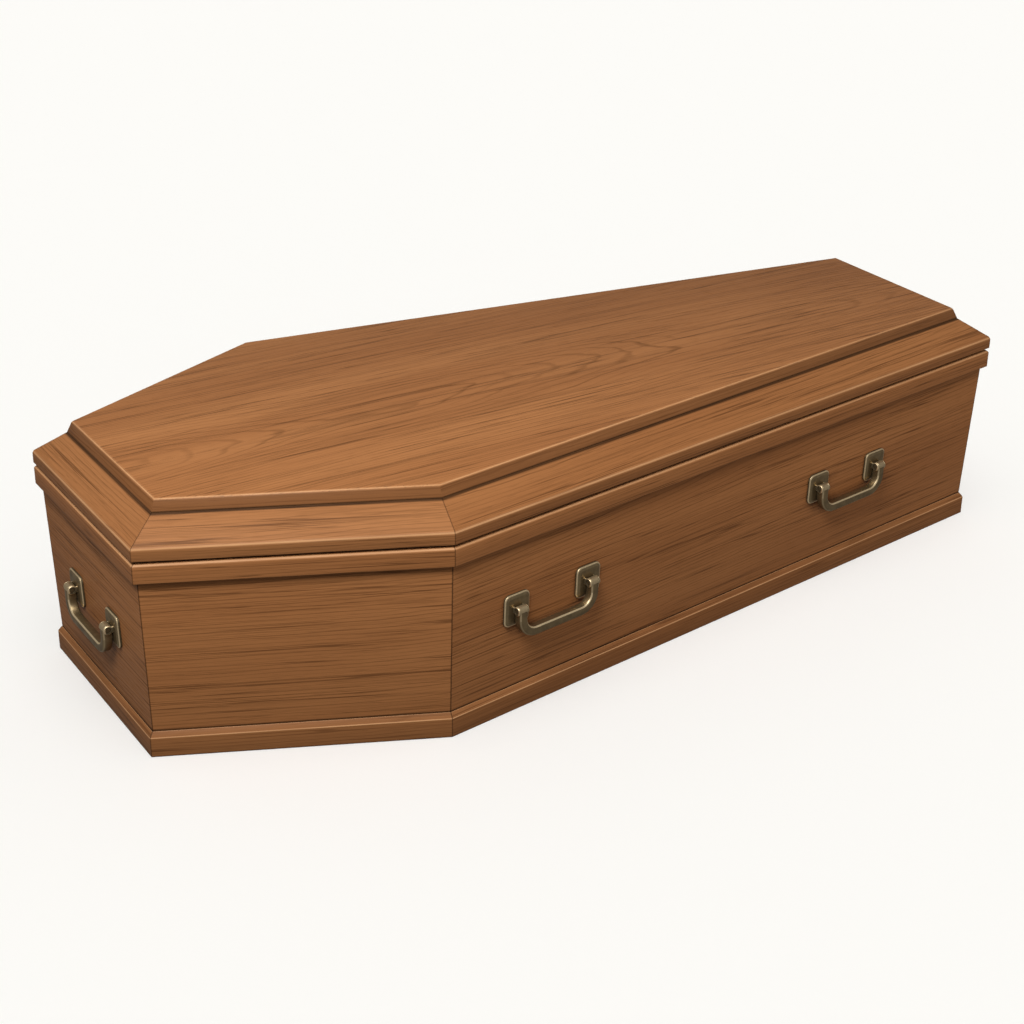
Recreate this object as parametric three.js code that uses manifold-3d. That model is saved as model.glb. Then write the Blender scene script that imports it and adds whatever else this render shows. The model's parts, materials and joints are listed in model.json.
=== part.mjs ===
// A six-sided wooden coffin: six wall boards and a floor, a moulding round the base and one
// under the lid, a raised lid that lifts off, and six drop handles of old brass.
// Millimetres, +Z up, +X from the head end to the foot end. The origin is on the surface that
// the coffin stands on, under the middle of its length and width. Right and left are those of
// the person who lies in it.
import * as THREE from "three";
import { ConvexGeometry } from "three/addons/geometries/ConvexGeometry.js";
import { mergeVertices } from "three/addons/utils/BufferGeometryUtils.js";
import Module from "manifold-3d";

const wasm = await Module();
wasm.setup();

// Outline of the lid's rim, seen from above
const rimLength = 1900;
const headWidth = 450;
const shoulderWidth = 882;
const footWiderThanHead = 28;
const footWidth = headWidth + footWiderThanHead;
const shoulderFromHead = 484;

// Walls and floor
const wallHeight = 383; // the lid rests on this edge
const wallThickness = 18;
const wallLean = 1.75; // degrees that each wall leans out towards its top
const floorThickness = 18;
const glueLine = 0.3; // gap between pieces that meet

// Moulding under the lid
const topMouldingProud = 10; // how far its lower edge stands out from the wall
const topMouldingHeight = 36;
const topMouldingBevel = 4;
const shadowGap = 5; // open line between this moulding and the lid

// Moulding round the base
const baseMouldingProud = 7;
const baseMouldingFace = 38; // its upright face
const baseMouldingBevel = 10; // rise of the sloping top above that face

// Lid: a mitred frame of six sloping lengths, and a raised panel on it
const frameEdge = 23; // upright outer edge
const frameRise = 38; // rise of the slope
const frameRun = 55; // and how far in it reaches
const frameLanding = 20; // flat on top, under the panel
const frameDepth = 30; // thickness at its inner edge
const frameFoot = 30; // flat underneath, on the wall and the moulding
const panelThickness = 22;
const panelSplay = 9; // how far the panel's edge leans in over that thickness
const lidArris = 3; // flat planed off the upper edges of the frame and the panel

// Drop handles
const sideHandleHeight = 208; // middle of the plates above the floor, on the long sides
const endHandleHeight = 191; // and on the two ends
const shoulderHandleFromShoulder = 226; // along the long side, from its shoulder corner
const footHandleFromFoot = 403;
const plateWidth = 57;
const plateHeight = 63;
const plateCorner = 12;
const plateEdge = 4; // upright edge
const plateBevel = 3; // rise of the bevel in front of that edge
const plateBevelRun = 7;
const bailSpan = 168; // between the middles of the two arms
const bailDrop = 48; // from the pin to the middle of the grip
const bailBar = 17.5; // across the flats
const bailChamfer = 2.8;
const bailBend = 30; // radius at the middle of the bar
const pinAbovePlateMiddle = 3;
const pinRadius = 5;
const pinRecess = 0.8; // how far the pin's ends lie inside the ears
const knuckleWall = 3.1; // round the pin, in the knuckle and in the ears
const earThickness = 2.4;
const earWaist = 2.6; // how much narrower the neck is than the round ear, on each side
const swingGap = 0.4; // between the knuckle and what it turns against

const roundSides = 12;
const bendSteps = 5;
const cornerSteps = 2;
const cutPast = 1; // how far a bore is cut past the surface that it leaves

const wood = () => new THREE.MeshStandardMaterial({ color: 0x9c6840, roughness: 0.5, metalness: 0 });
const brass = () => new THREE.MeshStandardMaterial({ color: 0x7d6c4c, roughness: 0.38, metalness: 1 });

const coffin = new THREE.Group();

function named(name, geometry, material, parent = coffin) {
  const mesh = new THREE.Mesh(geometry, material);
  mesh.name = name;
  parent.add(mesh);
  return mesh;
}

// Corners of the rim, anticlockwise from above, and the side that starts at each
const shoulderX = shoulderFromHead - rimLength / 2;
const rim = [
  [-rimLength / 2, -headWidth / 2],
  [shoulderX, -shoulderWidth / 2],
  [rimLength / 2, -footWidth / 2],
  [rimLength / 2, footWidth / 2],
  [shoulderX, shoulderWidth / 2],
  [-rimLength / 2, headWidth / 2],
].map(([x, y]) => new THREE.Vector2(x, y));
const sides = ["right_shoulder", "right_side", "foot", "left_side", "left_shoulder", "head"];

const corner = (i) => rim[(i + rim.length) % rim.length];
const along = (side) => corner(side + 1).clone().sub(corner(side)).normalize();
const inward = (side) => new THREE.Vector2(-along(side).y, along(side).x);

// The rim's corner i when every side has moved in by inset
function insetCorner(i, inset) {
  const before = inward(i - 1);
  const after = inward(i);
  const bisector = before.clone().add(after).divideScalar(1 + before.dot(after));
  return corner(i).clone().addScaledVector(bisector, inset);
}

// A mitred length along one side. The convex profile is a list of [inset, height].
function mitredLength(side, profile) {
  const points = profile.flatMap(([inset, z]) => {
    const from = insetCorner(side, inset).addScaledVector(along(side), glueLine / 2);
    const to = insetCorner(side + 1, inset).addScaledVector(along(side), -glueLine / 2);
    return [new THREE.Vector3(from.x, from.y, z), new THREE.Vector3(to.x, to.y, z)];
  });
  return new ConvexGeometry(points);
}

// A six-sided slab, its edge a convex profile of [inset, height]
function hexagonSlab(profile) {
  const points = profile.flatMap(([inset, z]) => rim.map((_, i) => {
    const { x, y } = insetCorner(i, inset);
    return new THREE.Vector3(x, y, z);
  }));
  return new ConvexGeometry(points);
}

const lean = THREE.MathUtils.degToRad(wallLean);
const topMouldingTop = wallHeight - shadowGap;
const topMouldingBottom = topMouldingTop - topMouldingHeight;
const wallFace = (z) => topMouldingProud + (topMouldingBottom - z) * Math.tan(lean);
const wallBack = (z) => wallFace(z) + wallThickness;

function addWalls() {
  const profile = [
    [wallFace(0), 0],
    [wallFace(wallHeight), wallHeight],
    [wallBack(wallHeight), wallHeight],
    [wallBack(0), 0],
  ];
  sides.forEach((name, side) => named(`${name}_board`, mitredLength(side, profile), wood()));
}

function addFloor() {
  named("floor_board", hexagonSlab([
    [wallBack(0) + glueLine, 0],
    [wallBack(floorThickness) + glueLine, floorThickness],
  ]), wood());
}

function addTopMoulding() {
  const back = (z) => wallFace(z) - glueLine;
  const bevel = Math.min(topMouldingBevel, back(topMouldingTop) / 2);
  const profile = [
    [0, topMouldingBottom],
    [0, topMouldingTop - bevel],
    [bevel, topMouldingTop],
    [back(topMouldingTop), topMouldingTop],
    [back(topMouldingBottom), topMouldingBottom],
  ];
  sides.forEach((name, side) => named(`top_moulding_${name}`, mitredLength(side, profile), wood()));
}

function addBaseMoulding() {
  const height = baseMouldingFace + baseMouldingBevel;
  const back = (z) => wallFace(z) - glueLine;
  const face = back(height) - baseMouldingProud;
  const profile = [
    [face, 0],
    [face, baseMouldingFace],
    [back(height), height],
    [back(0), 0],
  ];
  sides.forEach((name, side) => named(`base_moulding_${name}`, mitredLength(side, profile), wood()));
}

function addLid() {
  const frameBottom = wallHeight + glueLine;
  const frameTop = frameBottom + frameEdge + frameRise;
  const slope = Math.atan2(frameRise, frameRun);
  const profile = [
    [0, frameBottom],
    [0, frameBottom + frameEdge - lidArris],
    [lidArris * Math.cos(slope), frameBottom + frameEdge + lidArris * Math.sin(slope)],
    [frameRun, frameTop],
    [frameRun + frameLanding, frameTop],
    [frameRun + frameLanding, frameTop - frameDepth],
    [frameFoot, frameBottom],
  ];
  sides.forEach((name, side) => named(`lid_frame_${name}`, mitredLength(side, profile), wood()));

  const panelBottom = frameTop + glueLine;
  const panelShoulder = panelBottom + panelThickness - lidArris;
  const splay = (panelSplay * (panelThickness - lidArris)) / panelThickness;
  named("lid_panel", hexagonSlab([
    [frameRun, panelBottom],
    [frameRun + splay, panelShoulder],
    [frameRun + splay + lidArris, panelShoulder + lidArris],
  ]), wood());
}

// A closed mesh as a solid that can be joined and cut
function solid(geometry) {
  const bare = geometry.clone();
  bare.deleteAttribute("normal");
  bare.deleteAttribute("uv");
  const merged = mergeVertices(bare, 1e-4);
  return new wasm.Manifold(new wasm.Mesh({
    numProp: 3,
    vertProperties: new Float32Array(merged.attributes.position.array),
    triVerts: new Uint32Array(merged.index.array),
  }));
}

function geometryOf(made) {
  const { vertProperties, triVerts } = made.getMesh();
  return new THREE.BufferGeometry()
    .setAttribute("position", new THREE.BufferAttribute(vertProperties, 3))
    .setIndex(new THREE.BufferAttribute(triVerts, 1));
}

// A round bar along X, about the origin
function roundBar(radius, length) {
  return new THREE.CylinderGeometry(radius, radius, length, roundSides).rotateZ(Math.PI / 2);
}

// The middle line of a bail, hung from its pins: down one arm, across, and up the other
class BailLine extends THREE.Curve {
  constructor() {
    super();
    const x = bailSpan / 2;
    const bend = (at, from) => (t) => {
      const angle = from + (t * Math.PI) / 2;
      return new THREE.Vector3(
        at + bailBend * Math.cos(angle), 0, bailBend - bailDrop + bailBend * Math.sin(angle));
    };
    const straight = (fromX, fromZ, toX, toZ) => (t) =>
      new THREE.Vector3(fromX, 0, fromZ).lerp(new THREE.Vector3(toX, 0, toZ), t);
    this.parts = [
      straight(-x, 0, -x, bailBend - bailDrop),
      bend(bailBend - x, Math.PI),
      straight(bailBend - x, -bailDrop, x - bailBend, -bailDrop),
      bend(x - bailBend, 1.5 * Math.PI),
      straight(x, bailBend - bailDrop, x, 0),
    ];
    this.shares = [1, bendSteps, 1, bendSteps, 1]; // steps in each part
    this.steps = this.shares.reduce((sum, n) => sum + n);
  }

  getPoint(t) {
    let step = t * this.steps;
    let part = 0;
    while (part < this.parts.length - 1 && step > this.shares[part]) {
      step -= this.shares[part];
      part += 1;
    }
    return this.parts[part](step / this.shares[part]);
  }

  getUtoTmapping(u) {
    return u; // each step ends where a straight or an arc's own step ends
  }
}

const knuckleRadius = pinRadius + swingGap + knuckleWall;
const plateFront = plateEdge + plateBevel;
const pinStandOff = plateFront + Math.max(knuckleRadius, bailBar / 2) + swingGap; // from the plate's back
const earInside = bailBar / 2 + swingGap; // middle of the arm to the inside of an ear
const earOutside = earInside + earThickness;

function bailGeometry() {
  const flat = bailBar / 2;
  const short = flat - bailChamfer;
  const section = new THREE.Shape([
    [flat, -short], [flat, short], [short, flat], [-short, flat],
    [-flat, short], [-flat, -short], [-short, -flat], [short, -flat],
  ].map(([x, y]) => new THREE.Vector2(x, y)));
  const line = new BailLine();
  let bail = solid(new THREE.ExtrudeGeometry(section, { steps: line.steps, extrudePath: line }));
  for (const x of [-bailSpan / 2, bailSpan / 2]) {
    bail = bail.add(solid(roundBar(knuckleRadius, bailBar).translate(x, 0, 0)));
  }
  for (const x of [-bailSpan / 2, bailSpan / 2]) {
    bail = bail.subtract(solid(roundBar(pinRadius + swingGap, bailBar + 2 * cutPast).translate(x, 0, 0)));
  }
  return geometryOf(bail);
}

// A plate with its back on the XZ plane, its middle at the origin, and two ears for the pin
function plateGeometry() {
  const outline = (shrink) => {
    const x = plateWidth / 2 - shrink;
    const z = plateHeight / 2 - shrink;
    const r = plateCorner - shrink;
    return new THREE.Shape()
      .absarc(x - r, z - r, r, 0, Math.PI / 2)
      .absarc(r - x, z - r, r, Math.PI / 2, Math.PI)
      .absarc(r - x, r - z, r, Math.PI, 1.5 * Math.PI)
      .absarc(x - r, r - z, r, 1.5 * Math.PI, 2 * Math.PI)
      .getPoints(cornerSteps);
  };
  const layer = (shrink, y) => outline(shrink).map((p) => new THREE.Vector3(p.x, y, p.y));
  let plate = solid(new ConvexGeometry([
    ...layer(0, 0), ...layer(0, plateEdge), ...layer(plateBevelRun, plateFront),
  ]));

  // An ear, outward and up: from inside the plate along the neck, round the pin and back
  const up = pinAbovePlateMiddle;
  const neck = knuckleRadius - earWaist;
  const open = Math.PI - Math.asin(neck / knuckleRadius);
  const ear = new THREE.Shape()
    .moveTo(plateEdge, up - neck)
    .absarc(pinStandOff, up, knuckleRadius, -open, open)
    .lineTo(plateEdge, up + neck);
  const upright = new THREE.Matrix4().makeBasis(
    new THREE.Vector3(0, 1, 0), new THREE.Vector3(0, 0, 1), new THREE.Vector3(1, 0, 0));
  for (const start of [earInside, -earOutside]) {
    const lug = new THREE.ExtrudeGeometry(ear, {
      depth: earThickness, bevelEnabled: false, curveSegments: roundSides - 2,
    }).applyMatrix4(upright).translate(start, 0, 0);
    plate = plate.add(solid(lug));
  }
  const bore = roundBar(pinRadius + glueLine, 2 * (earOutside + cutPast));
  return geometryOf(plate.subtract(solid(bore.translate(0, pinStandOff, up))));
}

function pinGeometry() {
  return roundBar(pinRadius, 2 * (earOutside - pinRecess));
}

// One handle at a height, its middle so far from the side's first corner
function addHandle(name, side, height, distance) {
  const middle = insetCorner(side, wallFace(height)).addScaledVector(along(side), distance);
  const set = new THREE.Group(); // X along the wall, Y outward
  set.position.set(middle.x, middle.y, height);
  set.rotation.z = Math.atan2(-along(side).y, -along(side).x);
  coffin.add(set);

  const onWall = new THREE.Group(); // leans with the wall
  onWall.rotation.x = -lean;
  set.add(onWall);
  [-bailSpan / 2, bailSpan / 2].forEach((x, i) => {
    named(`${name}_handle_plate_${i + 1}`, plateGeometry(), brass(), onWall)
      .position.set(x, glueLine, 0);
    named(`${name}_handle_pin_${i + 1}`, pinGeometry(), brass(), onWall)
      .position.set(x, glueLine + pinStandOff, pinAbovePlateMiddle);
  });

  // The bail hangs plumb from the pins
  named(`${name}_handle_bail`, bailGeometry(), brass(), set).position
    .set(0, glueLine + pinStandOff, pinAbovePlateMiddle)
    .applyAxisAngle(new THREE.Vector3(1, 0, 0), -lean);
}

function addHandles() {
  const length = (side, height) => {
    const inset = wallFace(height);
    return insetCorner(side, inset).distanceTo(insetCorner(side + 1, inset));
  };
  const [rightSide, footEnd, leftSide, headEnd] = [1, 2, 3, 5];
  const high = sideHandleHeight;
  const low = endHandleHeight;
  addHandle("right_upper", rightSide, high, shoulderHandleFromShoulder);
  addHandle("right_lower", rightSide, high, length(rightSide, high) - footHandleFromFoot);
  addHandle("left_upper", leftSide, high, length(leftSide, high) - shoulderHandleFromShoulder);
  addHandle("left_lower", leftSide, high, footHandleFromFoot);
  addHandle("head", headEnd, low, length(headEnd, low) / 2);
  addHandle("foot", footEnd, low, length(footEnd, low) / 2);
}

addWalls();
addFloor();
addTopMoulding();
addBaseMoulding();
addLid();
addHandles();

export default coffin;
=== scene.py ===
import json
import math

import bmesh
import bpy
from mathutils import Matrix, Vector


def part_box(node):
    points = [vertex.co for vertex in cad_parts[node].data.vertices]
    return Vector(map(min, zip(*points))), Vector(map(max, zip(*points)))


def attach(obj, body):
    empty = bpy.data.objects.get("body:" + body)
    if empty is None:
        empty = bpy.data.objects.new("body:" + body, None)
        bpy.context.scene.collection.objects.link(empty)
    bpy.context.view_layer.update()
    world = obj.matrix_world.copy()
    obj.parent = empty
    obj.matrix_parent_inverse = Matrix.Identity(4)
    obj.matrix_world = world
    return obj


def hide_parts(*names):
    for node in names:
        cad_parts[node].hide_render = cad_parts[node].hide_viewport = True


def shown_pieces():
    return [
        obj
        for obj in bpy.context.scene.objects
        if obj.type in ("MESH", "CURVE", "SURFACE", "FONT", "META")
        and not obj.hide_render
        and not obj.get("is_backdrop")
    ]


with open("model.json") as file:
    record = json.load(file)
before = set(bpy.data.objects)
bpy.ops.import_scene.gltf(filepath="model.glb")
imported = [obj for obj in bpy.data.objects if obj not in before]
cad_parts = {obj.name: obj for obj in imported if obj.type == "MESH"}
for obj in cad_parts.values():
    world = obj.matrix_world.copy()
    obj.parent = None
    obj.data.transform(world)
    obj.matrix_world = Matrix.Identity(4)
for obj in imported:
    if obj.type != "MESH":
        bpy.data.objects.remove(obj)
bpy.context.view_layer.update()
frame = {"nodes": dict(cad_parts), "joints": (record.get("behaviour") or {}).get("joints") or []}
scene = bpy.context.scene
up = Vector((0, 0, 1))
print("frame loaded:", len(frame["nodes"]), "nodes")


class Wire:
    # one output of a node, usable in sums
    def __init__(self, graph, socket):
        self.graph = graph
        self.socket = socket

    def math(self, operation, *values):
        return self.graph.node("Math", {"operation": operation}, dict(enumerate(values)))

    def __add__(self, other):
        return self.math("ADD", self, other)

    __radd__ = __add__

    def __sub__(self, other):
        return self.math("SUBTRACT", self, other)

    def __rsub__(self, other):
        return self.math("SUBTRACT", other, self)

    def __mul__(self, other):
        return self.math("MULTIPLY", self, other)

    __rmul__ = __mul__

    def __truediv__(self, other):
        return self.math("DIVIDE", self, other)

    def root(self):
        return self.math("SQRT", self)

    def size(self):
        return self.math("ABSOLUTE", self)

    def floor(self):
        return self.math("FLOOR", self)

    def fraction(self):
        return self.math("FRACT", self)

    def between(self, low, high):
        # rises smoothly from 0 at low to 1 at high
        return self.graph.node("MapRange", {"interpolation_type": "SMOOTHSTEP"}, {
            "Value": self, "From Min": low, "From Max": high,
        })


class Graph:
    # the nodes of one material or world
    def __init__(self, owner):
        owner.use_nodes = True
        self.tree = owner.node_tree
        self.tree.nodes.clear()

    def node(self, kind, settings=None, values=None, output=0):
        made = self.tree.nodes.new("ShaderNode" + kind)
        for name, value in (settings or {}).items():
            setattr(made, name, value)
        for place, value in (values or {}).items():
            if isinstance(value, Wire):
                self.tree.links.new(value.socket, made.inputs[place])
            else:
                made.inputs[place].default_value = value
        return Wire(self, made.outputs[output]) if made.outputs else None

    def mix(self, share, first, second):
        first, second = (value if isinstance(value, Wire) else (*value, 1)
                         for value in (first, second))
        return self.node("Mix", {"data_type": "RGBA"}, {0: share, 6: first, 7: second}, output=2)

    def scaled(self, colour, factor):
        return self.node("VectorMath", {"operation": "SCALE"}, {0: colour, 3: factor})

    def along(self, spot, direction):
        return self.node("VectorMath", {"operation": "DOT_PRODUCT"},
                         {0: spot, 1: tuple(direction)}, output="Value")

    def spot(self):
        return self.node("TexCoord", output="Object")

    def mark(self, name):
        return self.node("Attribute", {"attribute_name": name}, output="Fac")

    def noise(self, spot, waves, seed, detail=1.0):
        # -0.5 to 0.5, with so many waves per metre along each axis
        place = self.node("VectorMath", {"operation": "MULTIPLY_ADD"}, {
            0: spot, 1: waves, 2: (seed * 1.31, seed * 2.17, seed * 0.73)})
        return self.node("TexNoise", values={
            "Vector": place, "Scale": 1.0, "Detail": detail}) - 0.5


camera = {
    "place": (-1.95422, -2.93188, 1.87782),
    "ahead": (0.48437, 0.75467, -0.44256),
    "upward": (0.22613, 0.38068, 0.89663),
    "lens": 69.17,
}


def addCamera():
    data = bpy.data.cameras.new("camera")
    data.lens = camera["lens"]
    data.sensor_width = 36
    data.clip_end = 200
    holder = bpy.data.objects.new("camera", data)
    scene.collection.objects.link(holder)
    back = -Vector(camera["ahead"]).normalized()
    right = Vector(camera["upward"]).cross(back).normalized()
    axes = Matrix((right, back.cross(right), back)).transposed().to_4x4()
    holder.matrix_world = Matrix.Translation(camera["place"]) @ axes
    scene.camera = holder


addCamera()
scene.view_settings.view_transform = "Standard"

wood = {
    "light": (0.350, 0.147, 0.0525),
    "dark": (0.300, 0.121, 0.042),
    "line": (0.094, 0.035, 0.011),
    # lighter colour on upward arrises: partly rubbed wear, partly painted highlight
    "wornAndLitArris": (0.50, 0.268, 0.128),
    "roughness": 0.46,
    "specular": 0.09,
    "coat": 0.02,
    "coatRoughness": 0.3,
    "bump": 0.3,
    "bumpDepth": 0.0003,
    "rounding": 0.0011,  # along the arrises
    "endRounding": 0.00025,  # at the mitres
    "roundingSteps": 3,
    "arrisWidth": 0.006,  # a narrower face than this counts as an arris
    "arrisFaint": 0.2,  # how much of the arris colour the roundings beside such a face take
    "ridge": math.radians(12),  # an edge at least this sharp is rounded
    "smooth": math.radians(34),  # faces that meet at less are shaded as one
    "frameSlope": (0.57, 0.82),  # the way the lid frame's slope faces: outward, upward
    "panelSideArea": 0.005,  # a side of the panel is larger than this, in square metres
    "uprightMiddle": 0.0105,  # of the lid frame's upright face, above its underside
}

# noise in the wood: waves per metre along, across and into it
waves = {
    "beside": (1.1, 3.0, 3.0),
    "behind": (1.7, 4.0, 4.0),
    "ripple": (7.0, 30, 30),
    "wisps": (2.4, 170, 170),
    "threads": (1.5, 180, 180),
    "bundles": (2.4, 80, 80),
    "pores": (26, 620, 620),
    "fibres": (30, 1000, 1000),
    "broad": (1.2, 9, 9),
    "wornAndLitPatches": (9, 40, 40),
}

# how those noises turn into marks: each pair is the range over which a mark comes or goes
marks = {
    "ripple": 1.1,  # rings that a line wanders by
    "lateRise": (0.66, 0.87),  # the dark part of a ring, as shares of it
    "lateFall": (0.90, 1.0),
    "faintRing": 0.25,  # strength of the faintest ring
    "follow": 0.0007,  # how far wisps and threads bend with each ring
    "wisps": (0.0, 0.18),
    "threads": (0.007, 0.034),
    "bundles": (-0.10, 0.08),
    "pores": (0.08, 0.2),
    "poreDepth": 0.2,
    "fibreDepth": 0.22,
    # how much of the lighter arris colour shows, and how much it changes: wear and painted
    # highlight
    "wornAndLitLeast": 0.72,
    "wornAndLitChange": 0.6,
}

# painted shade in creases, the open gap, under overhangs and on the lid frame's upright face, and
# dark
# joint lines at the mitres: the half width that is all dark, where the line has faded, and its
# strength
shadeAndJointLines = {
    "underTop": (0.0012, 0.0045, 0.55),
    "shadeUnderTop": (0.0, 0.022, 0.24),
    "overBase": (0.0016, 0.0042, 0.72),
    "openLine": (0.003, 0.0055, 0.85),
    "mouldingFoot": (0.0004, 0.0022, 0.55),
    "ground": (0.0006, 0.0028, 0.5),
    "frameByPanel": (0.0016, 0.0038, 0.78),
    "frameUpright": (0.0095, 0.0115, 0.16),  # painted shade over the whole upright face of the lid's frame
    "panelFoot": (0.0010, 0.0030, 0.6),
    "boardMitre": (0.0005, 0.0017, 0.62),
    "mouldingMitre": (0.0003, 0.0014, 0.5),
    "frameMitre": (0.0003, 0.0013, 0.4),
}

# How each kind of piece was sawn and what it shows: ring is the spacing of the year rings, depth
# and heart are where the tree's middle lay behind and beside the face, tilt is how far the face
# runs out of line, and sway how wavy the tree grew. ToneAndShade is the share of the wood's
# colour, lower on the upright and low pieces and the panel's sides as painted shade, rings, wisps
# and threads are the strength of those marks, and mitre is the dark line at the ends.
figures = {
    "board": {"ring": 0.0058, "depth": 0.16, "heart": 0.24, "tilt": 0.03, "sway": 0.045,
              "toneAndShade": 0.85, "rings": 0.62, "wisps": 0.17, "threads": 0.8, "mitre": "boardMitre"},
    "moulding": {"ring": 0.0050, "depth": 0.08, "heart": 0.09, "tilt": 0.012, "sway": 0.02,
                 "toneAndShade": 0.86, "rings": 0.5, "wisps": 0.24, "threads": 0.76,
                 "mitre": "mouldingMitre"},
    "base": {"ring": 0.0050, "depth": 0.08, "heart": 0.09, "tilt": 0.012, "sway": 0.02,
             "toneAndShade": 0.66, "rings": 0.5, "wisps": 0.24, "threads": 0.76,
             "mitre": "mouldingMitre"},
    "frame": {"ring": 0.0052, "depth": 0.10, "heart": 0.08, "tilt": 0.015, "sway": 0.03,
              "toneAndShade": 0.865, "rings": 0.5, "wisps": 0.24, "threads": 0.76, "mitre": "frameMitre"},
    # the panel's upright sides, with grain along each and a low tone: painted shade
    "edge": {"ring": 0.0040, "depth": 0.05, "heart": 0.06, "tilt": 0.006, "sway": 0.01,
             "toneAndShade": 0.58, "rings": 0.38, "wisps": 0.34, "threads": 0.5},
    "panel": {"ring": 0.0056, "depth": 0.20, "heart": -0.05, "tilt": 0.045, "sway": 0.045,
              "toneAndShade": 1.0, "rings": 0.5, "wisps": 0.24, "threads": 0.85},
}


def woodMaterial(name, origin, axes, figure, shadeAndJoints, seed):
    material = bpy.data.materials.new(name)
    graph = Graph(material)
    place = graph.node("VectorMath", {"operation": "SUBTRACT"},
                       {0: graph.spot(), 1: tuple(origin)})
    along, across, inward = (graph.along(place, axis) for axis in axes)
    grain = graph.node("CombineXYZ", values={0: along, 1: across, 2: inward})

    # year rings, cut by the face
    sway = figure["sway"]
    beside = across - figure["heart"] + graph.noise(grain, waves["beside"], seed) * sway
    behind = (figure["depth"] - inward + along * figure["tilt"]
              + graph.noise(grain, waves["behind"], seed + 5) * sway)
    count = ((beside * beside + behind * behind).root() / figure["ring"]
             + graph.noise(grain, waves["ripple"], seed + 9, 2) * marks["ripple"])
    ring = count.fraction()
    late = ring.between(*marks["lateRise"]) * (1 - ring.between(*marks["lateFall"]))
    strong = graph.node("TexWhiteNoise", {"noise_dimensions": "1D"}, {"W": count.floor()})
    rings = late * (marks["faintRing"] + (1 - marks["faintRing"]) * strong)

    # wisps and thin dark threads that follow the rings, pores and fibres
    bent = graph.node("CombineXYZ", values={
        0: along, 1: across + count * marks["follow"], 2: inward})
    wisps = graph.noise(bent, waves["wisps"], seed + 13, 3).between(*marks["wisps"])
    fine = graph.noise(bent, waves["threads"], seed + 17, 2).size()
    bundles = graph.noise(grain, waves["bundles"], seed + 21).between(*marks["bundles"])
    threads = (1 - fine.between(*marks["threads"])) * bundles
    pores = graph.noise(grain, waves["pores"], seed + 25).between(*marks["pores"])
    fibres = graph.noise(grain, waves["fibres"], seed + 29)
    broad = graph.noise(grain, waves["broad"], seed + 33) * 2.4 + 0.5

    # each kind's share of the wood's colour, partly painted shade on the upright and low pieces
    light, dark = (tuple(part * figure["toneAndShade"] for part in wood[shade])
                   for shade in ("light", "dark"))
    colour = graph.mix(broad.between(0, 1), dark, light)
    colour = graph.mix(rings * figure["rings"], colour, wood["line"])
    colour = graph.mix(wisps * figure["wisps"], colour, wood["line"])
    colour = graph.mix(threads * figure["threads"], colour, wood["line"])
    colour = graph.mix(pores * marks["poreDepth"], colour, wood["line"])

    # upward arrises are lighter: partly rubbed wear, partly painted highlight
    wornAndLitPatches = graph.noise(grain, waves["wornAndLitPatches"], seed + 37) * marks["wornAndLitChange"]
    wornAndLit = graph.mark("wornAndLitArris") * (marks["wornAndLitLeast"] + wornAndLitPatches)
    colour = graph.mix(wornAndLit, colour, wood["wornAndLitArris"])
    value = 1 + fibres * marks["fibreDepth"]
    # painted shade along creases, the open gap and under overhangs, and dark joint lines at the
    # mitres
    for direction, distance, solid, soft, strength in shadeAndJoints:
        away = (graph.along(graph.spot(), direction) - distance).size()
        value = value * (1 - strength * (1 - away.between(solid, soft)))

    bump = graph.node("Bump", values={
        "Strength": wood["bump"], "Distance": wood["bumpDepth"],
        "Height": fibres * 0.5 - rings * 0.3 - pores * 0.7 - threads * 0.4,
    })
    graph.node("OutputMaterial", values={"Surface": graph.node("BsdfPrincipled", values={
        "Base Color": graph.scaled(colour, value),
        "Roughness": wood["roughness"] + rings * 0.1 + pores * 0.2 + fibres * 0.1,
        "Specular IOR Level": wood["specular"],
        "Coat Weight": wood["coat"],
        "Coat Roughness": wood["coatRoughness"],
        "Normal": bump,
    })})
    return material


def woodAxes(mesh, kind, middle):
    # the way the grain runs, across it, and out of the face that shows
    if kind == "panel":
        run, out = Vector((1, 0, 0)), up.copy()
    else:
        longest = max(mesh.edges, key=lambda edge: edge.calc_length())
        run = (longest.verts[1].co - longest.verts[0].co).normalized()
        if run.x < -0.1 or (abs(run.x) < 0.1 and run.y < 0):
            run = -run
        out = run.cross(up)
        out = out if out.dot(middle) > 0 else -out
        if kind == "frame":
            outward, upward = wood["frameSlope"]
            out = (out * outward + up * upward).normalized()
    return run, out.cross(run), out


def addPanelSides(data, shadeAndJoints, seed):
    # the panel's upright sides get materials of their own, with grain along each side and a low
    # tone: painted shade
    outward = {}
    for face in data.polygons:
        if face.area > wood["panelSideArea"] and abs(face.normal.z) < 0.6:
            outward[face.index] = Vector((face.normal.x, face.normal.y, 0)).normalized()
    panelSides = list(outward.items())
    for number, (index, out) in enumerate(panelSides):
        run = out.cross(up)
        origin = data.polygons[index].center
        data.materials.append(woodMaterial(f"lid_panel_shaded_side_{number + 1}", origin, (run, up, out),
                                           figures["edge"], shadeAndJoints, seed + 3 * number + 3))
    for face in data.polygons:
        if 0.02 < math.hypot(face.normal.x, face.normal.y) and abs(face.normal.z) < 0.6:
            nearest = max(range(len(panelSides)), key=lambda i: panelSides[i][1].dot(face.normal))
            face.material_index = nearest + 1


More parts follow.
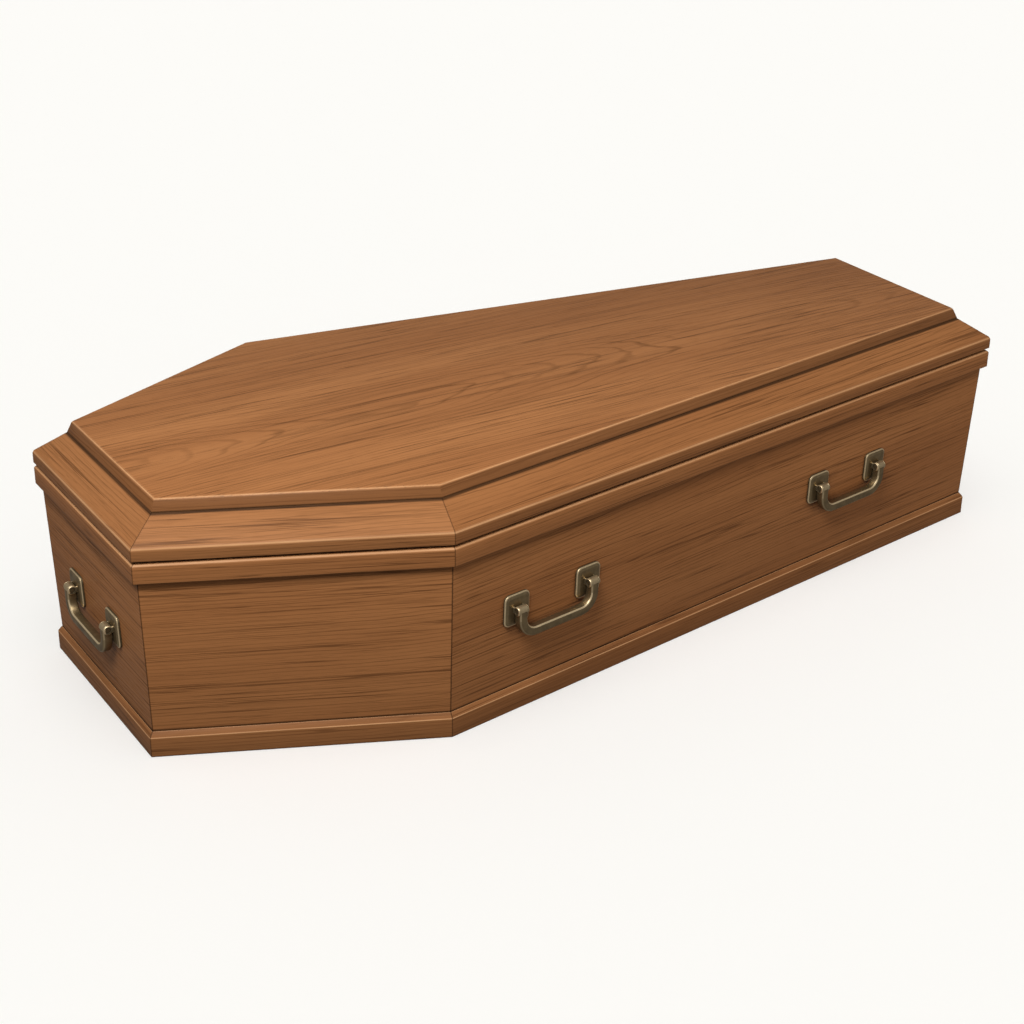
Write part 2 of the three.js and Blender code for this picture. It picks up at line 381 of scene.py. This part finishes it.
def dressWood(node, kind, shadeAndJoints, seed):
    # the CAD solid with its arrises rounded, in wood that runs along it
    mesh = bmesh.new()
    mesh.from_mesh(frame["nodes"][node].data)
    bmesh.ops.remove_doubles(mesh, verts=mesh.verts, dist=1e-5)
    bmesh.ops.dissolve_limit(mesh, angle_limit=math.radians(0.6), verts=mesh.verts,
                             edges=mesh.edges)
    bmesh.ops.recalc_face_normals(mesh, faces=mesh.faces)
    low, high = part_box(node)
    middle = (low + high) / 2
    run, side, out = woodAxes(mesh, kind, middle)
    surface = max(vertex.co.dot(out) for vertex in mesh.verts)
    origin = middle + out * (surface - middle.dot(out))
    shadeAndJoints = list(shadeAndJoints)
    if kind != "panel":
        ends = sorted(mesh.faces, key=lambda face: face.normal.dot(run))
        for face in (ends[0], ends[-1]):
            place = face.calc_center_median().dot(face.normal)
            shadeAndJoints.append((tuple(face.normal), place, *shadeAndJointLines[figures[kind]["mitre"]]))

    def isLong(edge):
        direction = (edge.verts[1].co - edge.verts[0].co).normalized()
        return abs(direction.z) < 0.2 if kind == "panel" else abs(direction.dot(run)) > 0.97

    def isRidge(edge):
        return len(edge.link_faces) == 2 and edge.calc_face_angle_signed() > wood["ridge"]

    def rounded(edges, radius, steps):
        return bmesh.ops.bevel(mesh, geom=edges, offset=radius, profile=0.5, segments=steps,
                               affect="EDGES", clamp_overlap=True)["faces"]

    # upward-facing arrises take the lighter colour: partly rubbed wear, partly painted highlight
    wornAndLitArris = mesh.faces.layers.float.new("wornAndLitArris")
    for face in mesh.faces:
        length = max(edge.calc_length() for edge in face.edges)
        narrow = face.calc_area() / length < wood["arrisWidth"]
        face[wornAndLitArris] = 1 if narrow and face.normal.z > 0.05 else 0
    long = [edge for edge in mesh.edges if isLong(edge) and isRidge(edge)]
    faint = wood["arrisFaint"] if any(face[wornAndLitArris] for face in mesh.faces) else 1
    for face in rounded(long, wood["rounding"], wood["roundingSteps"]):
        face[wornAndLitArris] = faint if face.normal.z > 0.05 else 0
    short = [edge for edge in mesh.edges if not isLong(edge) and isRidge(edge)]
    rounded(short, wood["endRounding"], 1)

    data = bpy.data.meshes.new(node)
    mesh.to_mesh(data)
    mesh.free()
    data.shade_smooth()
    data.set_sharp_from_angle(angle=wood["smooth"])
    data.materials.append(woodMaterial(node, origin, (run, side, out), figures[kind], shadeAndJoints, seed))
    if node == "lid_panel":
        addPanelSides(data, shadeAndJoints, seed)
    piece = bpy.data.objects.new("wood_" + node, data)
    scene.collection.objects.link(piece)
    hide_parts(node)
    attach(piece, "coffin")


sides = ["right_shoulder", "right_side", "foot", "left_side", "left_shoulder", "head"]


def addWood():
    # a line of painted shade is a direction, the distance along it, and how dark and wide it is
    def level(height, line):
        return ((0, 0, 1), height, *shadeAndJointLines[line])

    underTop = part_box("top_moulding_head")[0].z
    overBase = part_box("base_moulding_head")[1].z
    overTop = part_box("top_moulding_head")[1].z
    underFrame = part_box("lid_frame_head")[0].z
    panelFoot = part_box("lid_panel")[0].z
    onWall = [level(underTop, "underTop"), level(underTop, "shadeUnderTop"),
              level(overBase, "overBase"), level((overTop + underFrame) / 2, "openLine")]
    onTop = [level(underTop, "mouldingFoot")]
    onBase = [level(0, "ground")]
    onFrame = [level(panelFoot, "frameByPanel"),
               level(underFrame + wood["uprightMiddle"], "frameUpright")]
    for number, side in enumerate(sides):
        seed = 3.7 * number
        dressWood(f"{side}_board", "board", onWall, seed)
        dressWood(f"top_moulding_{side}", "moulding", onTop, seed + 40)
        dressWood(f"base_moulding_{side}", "base", onBase, seed + 80)
        dressWood(f"lid_frame_{side}", "frame", onFrame, seed + 120)
        print("wood:", side)
    dressWood("lid_panel", "panel", [level(panelFoot, "panelFoot")], 160)
    dressWood("floor_board", "panel", [], 170)
    print("wood: panel and floor")


addWood()

handle = {
    "span": 0.168,
    "drop": 0.048,
    "bar": 0.0175,
    "barChamfer": 0.0028,
    "barSoftness": 0.0004,
    "bend": 0.030,
    "bendSteps": 14,
    "plateWidth": 0.057,
    "plateHeight": 0.063,
    "plateCorner": 0.012,
    "plateEdge": 0.004,
    "plateThickness": 0.007,
    "pinUp": 0.003,
    "standOff": 0.01615,  # from a plate's back to the pin
    "knuckle": 0.0085,
    "pin": 0.005,
    "pinHole": 0.0053,
    "knuckleHole": 0.0054,
    "earInside": 0.00915,
    "earOutside": 0.01155,
    "earRim": 0.0012,
    "earSoftness": 0.0002,
    "earWaist": 0.0026,
    "pinRecess": 0.0008,
    "lean": math.radians(1.75),
    "smooth": math.radians(32),  # faces that meet at less are shaded as one
}

# the plate's edge, layer by layer: inset and height above the wall
plateLayers = [
    (0.0004, 0.0), (0.0, 0.0004), (0.0, 0.0035), (0.0003, 0.0040), (0.0010, 0.00438),
    (0.0024, 0.0050), (0.0062, 0.0066), (0.0069, 0.00688), (0.0078, 0.0070),
]

brass = {
    "base": (0.250, 0.183, 0.098),
    "patina": (0.072, 0.053, 0.029),
    # rubbed brass, partly wear and partly painted highlight
    "rubbedAndLit": (0.92, 0.74, 0.47),
    "roughness": 0.40,
    "metallic": 0.9,
    "cloudWaves": (60, 60, 60),
    "speckWaves": (900, 900, 900),
    "brushWaves": (90, 90, 1400),
    "cloudPatina": 0.4,
    "speckPatina": 0.35,
    "patinaAndShadeDepth": 0.9,
    "bump": 0.12,
    "bumpDepth": 0.0002,
    # how much of the rubbed colour each place takes: partly wear, partly painted highlight
    "earRimWornAndLit": 0.9,
    "knuckleWornAndLit": 0.5,
    "plateRimWornAndLit": 0.9,
    "plateBevelWornAndLit": 0.05,
    "innerChamferWornAndLit": 1,
    "outerChamferWornAndLit": 0.25,
    # how much patina each place keeps, and on the plate's upright sides how much painted shade
    "pinPatina": 0.8,
    "holePatina": 1,
    "plateSideShade": 0.75,
}


def brassMaterial():
    material = bpy.data.materials.new("antique_brass")
    graph = Graph(material)
    spot = graph.spot()
    cloud = graph.noise(spot, brass["cloudWaves"], 1, 3) * 2 + 0.5
    speck = graph.noise(spot, brass["speckWaves"], 2, 2)
    brush = graph.noise(spot, brass["brushWaves"], 3, 2)
    patinaAndShade = graph.mark("patinaAndShade")
    colour = graph.mix(cloud.between(0.1, 0.9) * brass["cloudPatina"], brass["base"],
                       brass["patina"])
    colour = graph.mix(speck.between(0.08, 0.25) * brass["speckPatina"], colour, brass["patina"])
    # rims, chamfers and knuckles take the rubbed colour: partly wear, partly painted highlight
    colour = graph.mix(graph.mark("edge") * (0.8 + speck * 0.8), colour, brass["rubbedAndLit"])
    # patina in the bore and the pin's recessed ends, and painted shade on the plate's upright
    # sides
    colour = graph.mix(patinaAndShade * brass["patinaAndShadeDepth"], colour, brass["patina"])
    bump = graph.node("Bump", values={
        "Strength": brass["bump"], "Distance": brass["bumpDepth"],
        "Height": speck + brush * 0.4,
    })
    graph.node("OutputMaterial", values={"Surface": graph.node("BsdfPrincipled", values={
        "Base Color": colour,
        "Metallic": brass["metallic"],
        "Roughness": brass["roughness"] + cloud * 0.1 + speck * 0.2 + patinaAndShade * 0.25,
        "Normal": bump,
    })})
    return material


def closedLoft(loops):
    # a solid skin over a row of loops with the same number of points
    mesh = bmesh.new()
    rows = [[mesh.verts.new(point) for point in loop] for loop in loops]
    total = len(rows[0])
    for lower, upper in zip(rows, rows[1:]):
        for i in range(total):
            j = (i + 1) % total
            mesh.faces.new((lower[i], lower[j], upper[j], upper[i]))
    mesh.faces.new(rows[0][::-1])
    mesh.faces.new(rows[-1])
    bmesh.ops.recalc_face_normals(mesh, faces=mesh.faces)
    data = bpy.data.meshes.new("loft")
    mesh.to_mesh(data)
    mesh.free()
    return data


def joined(parts, holes):
    # one solid from overlapping solids, less the holes
    def shown(data):
        item = bpy.data.objects.new("solid", data)
        scene.collection.objects.link(item)
        return item

    body = shown(parts[0])
    tools = [(shown(data), "UNION") for data in parts[1:]]
    tools += [(shown(data), "DIFFERENCE") for data in holes]
    for tool, operation in tools:
        cut = body.modifiers.new("join", "BOOLEAN")
        cut.object = tool
        cut.operation = operation
        cut.solver = "EXACT"
    data = bpy.data.meshes.new_from_object(
        body.evaluated_get(bpy.context.evaluated_depsgraph_get()))
    for spare in [body, *(tool for tool, operation in tools)]:
        bpy.data.objects.remove(spare)
    return data


def plateSolid():
    loops = []
    for inset, height in plateLayers:
        wide = handle["plateWidth"] / 2 - inset
        high = handle["plateHeight"] / 2 - inset
        corner = handle["plateCorner"] - inset
        loop = []
        for quarter, (signX, signZ) in enumerate(((1, 1), (-1, 1), (-1, -1), (1, -1))):
            for step in range(9):
                angle = (quarter + step / 8) * math.pi / 2
                loop.append((signX * (wide - corner) + corner * math.cos(angle), height,
                             signZ * (high - corner) + corner * math.sin(angle)))
        loops.append(loop)
    return closedLoft(loops)


def earSolid(outer):
    size = handle

    def outline(shrink):
        radius = size["knuckle"] - shrink
        neck = radius - size["earWaist"]
        opening = math.pi - math.asin(neck / radius)
        root = size["plateEdge"]
        points = []
        for step in range(31):
            angle = opening * (step / 15 - 1)
            points.append((size["standOff"] + radius * math.cos(angle),
                           size["pinUp"] + radius * math.sin(angle)))
        return points + [(root, size["pinUp"] + neck), (root, size["pinUp"] - neck)]

    inside, outside, rim = size["earInside"], size["earOutside"], size["earRim"]
    soft = size["earSoftness"]
    layers = [(soft, inside), (0.0, inside + soft), (0.0, outside - rim),
              (0.0003, outside - rim * 0.5), (0.0008, outside - rim * 0.12), (rim, outside)]
    return closedLoft([[(outer * x, y, z) for y, z in outline(shrink)] for shrink, x in layers])


def turned(radius, layers, middle=(0, 0), steps=40):
    # a round solid along X: each layer is a place along X and a share of the radius
    loops = []
    for x, share in layers:
        angles = [2 * math.pi * i / steps for i in range(steps)]
        loops.append([(x, middle[0] + radius * share * math.cos(angle),
                       middle[1] + radius * share * math.sin(angle)) for angle in angles])
    return closedLoft(loops)


def barSolid():
    half, soft = handle["bar"] / 2, handle["barSoftness"]
    short = half - handle["barChamfer"]
    corners = [Vector(corner) for corner in (
        (half, -short), (half, short), (short, half), (-short, half),
        (-half, short), (-half, -short), (-short, -half), (short, -half))]
    section = []
    for i, corner in enumerate(corners):
        for other in (corners[i - 1], corners[(i + 1) % len(corners)]):
            section.append(corner + (other - corner).normalized() * soft)

    arm, bend, drop = handle["span"] / 2, handle["bend"], handle["drop"]
    path = [(-arm, 0.0, 0.0, 0.9), (-arm, -0.0008, 0.0, 1.0)]  # x, z, turn, share of the section
    for step in range(handle["bendSteps"] + 1):
        turn = step / handle["bendSteps"] * math.pi / 2
        path.append((bend - arm - bend * math.cos(turn), bend - drop - bend * math.sin(turn),
                     turn, 1.0))
    path += [(-x, z, math.pi - turn, share) for x, z, turn, share in reversed(path)]
    return closedLoft([[(x + a * share * math.cos(turn), b * share, z + a * share * math.sin(turn))
                        for a, b in section] for x, z, turn, share in path])


def finished(data, edge, patinaAndShade):
    data.shade_smooth()
    data.set_sharp_from_angle(angle=handle["smooth"])
    for name, test in (("edge", edge), ("patinaAndShade", patinaAndShade)):
        layer = data.attributes.new(name, "FLOAT", "FACE")
        for face in data.polygons:
            layer.data[face.index].value = test(face)
    data.materials.clear()
    data.materials.append(antique)
    return data


def plateMesh():
    size = handle
    pin = (size["standOff"], size["pinUp"])
    reach = size["earOutside"] + 0.002
    hole = turned(size["pinHole"], [(-reach, 1), (reach, 1)], pin)
    data = joined([plateSolid(), earSolid(1), earSolid(-1)], [hole])

    def onEar(face):
        return face.center.y > size["plateThickness"] + 0.0002

    # ear rims, knuckles and the plate's rim take the rubbed colour: partly wear, partly painted
    # highlight
    def edge(face):
        if onEar(face):
            onRim = abs(face.center.x) > size["earOutside"] - size["earRim"]
            return brass["earRimWornAndLit"] if onRim else brass["knuckleWornAndLit"]
        if 0.3 < face.normal.y < 0.98:
            onRim = face.center.y < plateLayers[5][1]
            return brass["plateRimWornAndLit"] if onRim else brass["plateBevelWornAndLit"]
        return 0

    # patina in the bore, and painted shade on the plate's upright sides
    def patinaAndShade(face):
        fromPin = math.hypot(face.center.y - pin[0], face.center.z - pin[1])
        if onEar(face):
            return brass["holePatina"] if fromPin < size["pin"] + 0.0006 else 0
        return brass["plateSideShade"] if face.normal.y < 0.3 else 0

    return finished(data, edge, patinaAndShade)


def pinMesh():
    end = handle["earOutside"] - handle["pinRecess"]
    data = turned(handle["pin"], [(-end, 0.3), (-end + 0.0001, 0.75), (-end + 0.0005, 1),
                                  (end - 0.0005, 1), (end - 0.0001, 0.75), (end, 0.3)])

    def patinaAndShade(face):
        return brass["pinPatina"] if abs(face.center.x) > handle["earInside"] else 0

    return finished(data, lambda face: 0, patinaAndShade)


def bailMesh():
    half, arm, bend = handle["bar"] / 2, handle["span"] / 2, handle["bend"]
    turnHeight = bend - handle["drop"]
    knuckles = [turned(handle["knuckle"], [(at - half, 0.93), (at - half + 0.0005, 1),
                                           (at + half - 0.0005, 1), (at + half, 0.93)])
                for at in (-arm, arm)]
    holes = [turned(handle["knuckleHole"], [(at - half - 0.002, 1), (at + half + 0.002, 1)])
             for at in (-arm, arm)]
    data = joined([barSolid(), *knuckles], holes)

    def edge(face):
        # the chamfers, most of all the one that faces out and into the bail, and the knuckles:
        # partly rubbed wear, partly painted highlight
        x, z = face.center.x, face.center.z
        if abs(x) < arm - bend:
            outOfBail = Vector((0, 0, -1))
        elif z > turnHeight:
            outOfBail = Vector((math.copysign(1, x), 0, 0))
        else:
            outOfBail = Vector((x - math.copysign(arm - bend, x), 0, z - turnHeight)).normalized()
        facing = face.normal.dot(outOfBail)
        if z > -handle["knuckle"]:
            return brass["knuckleWornAndLit"]
        if not (0.4 < abs(facing) < 0.92 and face.normal.y > 0.3):
            return 0
        return brass["innerChamferWornAndLit"] if facing < 0 else brass["outerChamferWornAndLit"]

    return finished(data, edge, lambda face: 0)


def hang(name, data, matrix, node, body):
    mesh = data.copy()
    mesh.transform(matrix)
    piece = bpy.data.objects.new(name, mesh)
    scene.collection.objects.link(piece)
    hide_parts(node)
    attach(piece, body)


def addHandles():
    plate, pin, bail = plateMesh(), pinMesh(), bailMesh()
    for joint in frame["joints"]:
        name = joint["name"].removesuffix("_swing")
        axis = Vector(joint["axis"]).normalized()
        axes = Matrix((axis, up.cross(axis), up)).transposed().to_4x4()
        hung = Matrix.Translation(joint["pos_m"]) @ axes
        hang(f"brass_{name}_bail", bail, hung, f"{name}_bail", joint["child"])
        leaning = hung @ Matrix.Rotation(-handle["lean"], 4, "X")
        for number, x in ((1, -handle["span"] / 2), (2, handle["span"] / 2)):
            back = leaning @ Matrix.Translation((x, -handle["standOff"], -handle["pinUp"]))
            hang(f"brass_{name}_plate_{number}", plate, back, f"{name}_plate_{number}", "coffin")
            middle = leaning @ Matrix.Translation((x, 0, 0))
            hang(f"brass_{name}_pin_{number}", pin, middle, f"{name}_pin_{number}", "coffin")
        print("handle:", name)


antique = brassMaterial()
addHandles()

studio = {
    "floor": (0.99, 0.974, 0.935),
    "floorSize": 60.0,
    "room": (1.0, 0.945, 0.875),
    "sky": 0.28,
    "ground": 0.26,
    "keyPlace": (-2.1, -1.7, 3.4),
    "keySize": 1.8,
    "keyPower": 186.0,
    "keyColour": (1.0, 0.995, 0.98),
    "fillPlace": (2.9, -3.2, 0.9),
    "fillSize": 2.5,
    "fillPower": 46.0,
    "fillColour": (1.0, 0.92, 0.84),
    "overhead": 0.14,  # on the floor, with shadow
    "bounce": 0.645,  # on the floor, without
    "overheadColour": (0.942, 0.968, 1.0),  # white together with the room's warm light
    "overheadPlace": (-0.6, -0.9, 4),
    "overheadSpread": 50,  # degrees
}


def addFloor():
    half = studio["floorSize"] / 2
    data = bpy.data.meshes.new("floor")
    data.from_pydata([(-half, -half, 0), (half, -half, 0), (half, half, 0), (-half, half, 0)],
                     [], [(0, 1, 2, 3)])
    material = bpy.data.materials.new("pale_floor")
    graph = Graph(material)
    graph.node("OutputMaterial", values={"Surface": graph.node("BsdfDiffuse", values={
        "Color": (*studio["floor"], 1)})})
    data.materials.append(material)
    floor = bpy.data.objects.new("floor", data)
    floor.location.z = -0.0005
    floor.visible_diffuse = False
    floor.visible_glossy = False
    scene.collection.objects.link(floor)
    floor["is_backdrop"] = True
    return floor


def addLamp(name, data, spot, target, lit):
    lamp = bpy.data.objects.new(name, data)
    scene.collection.objects.link(lamp)
    lamp.location = spot
    lamp.rotation_mode = "QUATERNION"
    lamp.rotation_quaternion = (Vector(target) - Vector(spot)).to_track_quat("-Z", "Y")
    group = bpy.data.collections.new(name + "_lights")
    for item in lit:
        group.objects.link(item)
    lamp.light_linking.receiver_collection = group
    return lamp


def addSoftLamp(name, lit):
    data = bpy.data.lights.new(name, "AREA")
    data.shape = "DISK"
    data.size = studio[name + "Size"]
    data.energy = studio[name + "Power"]
    data.color = studio[name + "Colour"]
    return addLamp(name, data, studio[name + "Place"], (0, 0, 0.3), lit)


def addLight(floor):
    # a soft grey room, seen by the camera as the same pale ground
    world = bpy.data.worlds.new("studio")
    scene.world = world
    graph = Graph(world)
    height = graph.node("SeparateXYZ", values={0: graph.node("TexCoord", output="Generated")},
                        output="Z")
    strength = graph.node("MapRange", values={
        "Value": height, "From Min": -0.2, "From Max": 0.3,
        "To Min": studio["ground"], "To Max": studio["sky"]})
    soft = graph.node("Background", values={"Color": (*studio["room"], 1), "Strength": strength})
    pale = graph.node("Background", values={"Color": (*studio["floor"], 1)})
    seen = graph.node("LightPath", output="Is Camera Ray")
    graph.node("OutputWorld", values={
        "Surface": graph.node("MixShader", values={0: seen, 1: soft, 2: pale})})

    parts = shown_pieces()
    addSoftLamp("key", parts)
    addSoftLamp("fill", parts).visible_glossy = False
    for name, strength in (("overhead", studio["overhead"]), ("bounce", studio["bounce"])):
        data = bpy.data.lights.new(name, "SUN")
        data.energy = strength * math.pi
        data.color = studio["overheadColour"]
        data.angle = math.radians(studio["overheadSpread"])
        data.use_shadow = name == "overhead"
        addLamp(name, data, studio["overheadPlace"], (0, 0, 0), [floor])


addLight(addFloor())
print("floor and light ready")
